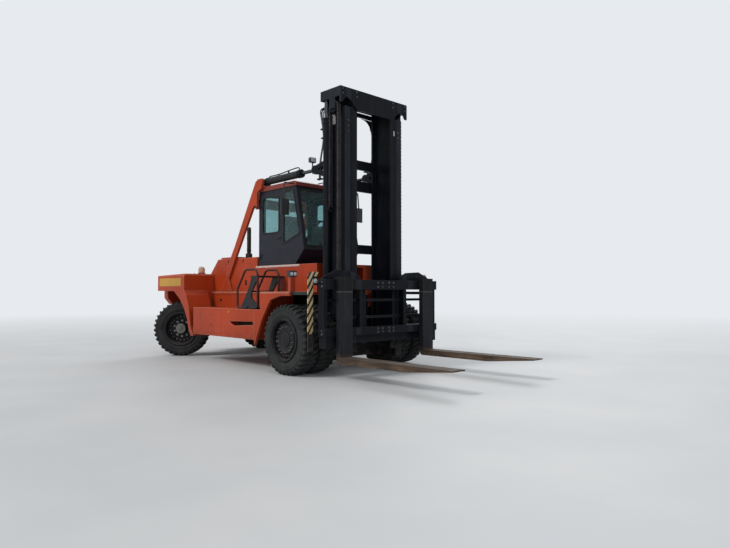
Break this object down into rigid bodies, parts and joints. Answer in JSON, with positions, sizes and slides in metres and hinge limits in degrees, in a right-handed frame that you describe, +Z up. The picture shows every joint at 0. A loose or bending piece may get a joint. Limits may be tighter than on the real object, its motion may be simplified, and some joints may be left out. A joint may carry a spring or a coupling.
{
  "type": "heavy forklift",
  "caption": "Heavy diesel forklift with a raised cab, twin front tyres, two-stage mast, fork carriage, overhead tilt cylinders and a cast counterweight.",
  "frame": {"origin": "on the ground, in the middle of the overall length and width", "axes": "+X forward to the fork tips, +Y to the driver's left, +Z up"},
  "size_m": [9.28, 3.7036, 5.435],
  "materials": {
    "body_paint": "gloss orange paint, dusty",
    "frame_paint": "dark chassis paint",
    "mast_paint": "satin black paint",
    "cab_paint": "satin dark paint",
    "guard_paint": "yellow with black stripes",
    "tyre": "worn rubber",
    "rim_paint": "dusty dark paint",
    "window_glass": "tinted",
    "rod_chrome": "polished",
    "chain_steel": "greased",
    "fork_steel": "worn and rusty",
    "exhaust_steel": "heat stained",
    "engine_iron": "oily",
    "seat_cover": "woven",
    "cab_plastic": "moulded",
    "lamp_lens": "clear lens"
  },
  "bodies": {
    "chassis": {"chassis_frame": "frame_paint", "counterweight": "body_paint", "engine_block": "engine_iron", "engine_house": "body_paint", "exhaust_stack": "exhaust_steel", "fenders_and_deck": "body_paint", "side_tanks": "body_paint", "steps_and_rails": "body_paint", "tilt_towers": "body_paint", "cab_shell": "cab_paint", "cab_roof": "cab_paint", "cab_windows": "window_glass", "driver_seat": "seat_cover", "dash_console": "cab_plastic", "steering_wheel": "cab_plastic", "front_guards": "guard_paint", "mirrors": "cab_plastic", "headlamps": "lamp_lens", "drive_axle": "frame_paint", "steer_axle": "frame_paint"},
    "engine_lid": {"engine_lid": "body_paint"},
    "outer_mast": {"outer_mast": "mast_paint", "lift_barrels": "mast_paint"},
    "inner_mast": {"inner_mast": "mast_paint", "lift_rods": "rod_chrome", "lift_chains": "chain_steel"},
    "carriage": {"carriage": "mast_paint"},
    "door_right": {"door_right": "cab_paint", "door_window_right": "window_glass"},
    "drive_wheels_right": {"drive_tyres_right": "tyre", "drive_rims_right": "rim_paint"},
    "knuckle_right": {"knuckle_right": "frame_paint"},
    "steer_wheel_right": {"steer_tyre_right": "tyre", "steer_rim_right": "rim_paint"},
    "fork_right": {"fork_right": "fork_steel"},
    "tilt_barrel_right": {"tilt_barrel_right": "mast_paint"},
    "tilt_rod_right": {"tilt_rod_right": "rod_chrome"},
    "door_left": {"door_left": "cab_paint", "door_window_left": "window_glass"},
    "drive_wheels_left": {"drive_tyres_left": "tyre", "drive_rims_left": "rim_paint"},
    "knuckle_left": {"knuckle_left": "frame_paint"},
    "steer_wheel_left": {"steer_tyre_left": "tyre", "steer_rim_left": "rim_paint"},
    "fork_left": {"fork_left": "fork_steel"},
    "tilt_barrel_left": {"tilt_barrel_left": "mast_paint"},
    "tilt_rod_left": {"tilt_rod_left": "rod_chrome"}
  },
  "joints": [
    {"name": "engine_lid_hinge", "type": "hinge", "parent": "chassis", "child": "engine_lid", "pos_m": [-2.73, 0, 2.35], "axis": [0, -1, 0], "range_deg": [0, 60]},
    {"name": "mast_tilt", "type": "hinge", "parent": "chassis", "child": "outer_mast", "pos_m": [0.98, 0, 0.66], "axis": [0, 1, 0], "range_deg": [-6, 5]},
    {"name": "inner_mast_lift", "type": "slide", "parent": "outer_mast", "child": "inner_mast", "axis": [0, 0, 1], "range_m": [-0.115, 2.4]},
    {"name": "carriage_lift", "type": "slide", "parent": "inner_mast", "child": "carriage", "axis": [0, 0, 1], "range_m": [-0.115, 2.4]},
    {"name": "door_right_hinge", "type": "hinge", "parent": "chassis", "child": "door_right", "pos_m": [-1.081, -0.785, 2.95], "axis": [0, 0, -1], "range_deg": [0, 95]},
    {"name": "drive_right_roll", "type": "hinge", "parent": "chassis", "child": "drive_wheels_right", "pos_m": [0.98, -1.248, 0.66], "axis": [0, 1, 0], "continuous": true},
    {"name": "steer_right", "type": "hinge", "parent": "chassis", "child": "knuckle_right", "pos_m": [-3.83, -1.145, 0.66], "axis": [0, 0, 1], "range_deg": [-105, 15]},
    {"name": "steer_right_roll", "type": "hinge", "parent": "knuckle_right", "child": "steer_wheel_right", "pos_m": [-3.70272, -1.27228, 0.66], "axis": [-0.7071, 0.7071, 0], "continuous": true},
    {"name": "fork_right_shift", "type": "slide", "parent": "carriage", "child": "fork_right", "axis": [0, -1, 0], "range_m": [-0.7, 0.2]},
    {"name": "tilt_barrel_right_swing", "type": "hinge", "parent": "chassis", "child": "tilt_barrel_right", "pos_m": [-1.033, -0.7, 3.985], "axis": [0, 1, 0], "range_deg": [-1.5, 1.5]},
    {"name": "tilt_rod_right_slide", "type": "slide", "parent": "tilt_barrel_right", "child": "tilt_rod_right", "axis": [0.9999, 0, 0.0112], "range_m": [-0.36, 0.3]},
    {"name": "door_left_hinge", "type": "hinge", "parent": "chassis", "child": "door_left", "pos_m": [-1.081, 0.785, 2.95], "axis": [0, 0, 1], "range_deg": [0, 95]},
    {"name": "drive_left_roll", "type": "hinge", "parent": "chassis", "child": "drive_wheels_left", "pos_m": [0.98, 1.248, 0.66], "axis": [0, 1, 0], "continuous": true},
    {"name": "steer_left", "type": "hinge", "parent": "chassis", "child": "knuckle_left", "pos_m": [-3.83, 1.145, 0.66], "axis": [0, 0, 1], "range_deg": [-105, 15]},
    {"name": "steer_left_roll", "type": "hinge", "parent": "knuckle_left", "child": "steer_wheel_left", "pos_m": [-3.95728, 1.27228, 0.66], "axis": [-0.7071, 0.7071, 0], "continuous": true},
    {"name": "fork_left_shift", "type": "slide", "parent": "carriage", "child": "fork_left", "axis": [0, 1, 0], "range_m": [-0.7, 0.2]},
    {"name": "tilt_barrel_left_swing", "type": "hinge", "parent": "chassis", "child": "tilt_barrel_left", "pos_m": [-1.033, 0.7, 3.985], "axis": [0, 1, 0], "range_deg": [-1.5, 1.5]},
    {"name": "tilt_rod_left_slide", "type": "slide", "parent": "tilt_barrel_left", "child": "tilt_rod_left", "axis": [0.9999, 0, 0.0112], "range_m": [-0.36, 0.3]}
  ],
  "couplings": [
    {"joint": "carriage_lift", "follows": "inner_mast_lift", "ratio": 1},
    {"joint": "tilt_barrel_right_swing", "follows": "mast_tilt", "ratio": -0.13},
    {"joint": "tilt_rod_right_slide", "follows": "mast_tilt", "m_per_rad": 3.338},
    {"joint": "tilt_barrel_left_swing", "follows": "mast_tilt", "ratio": -0.13},
    {"joint": "tilt_rod_left_slide", "follows": "mast_tilt", "m_per_rad": 3.338},
    {"joint": "steer_left", "follows": "steer_right", "ratio": 1}
  ]
}
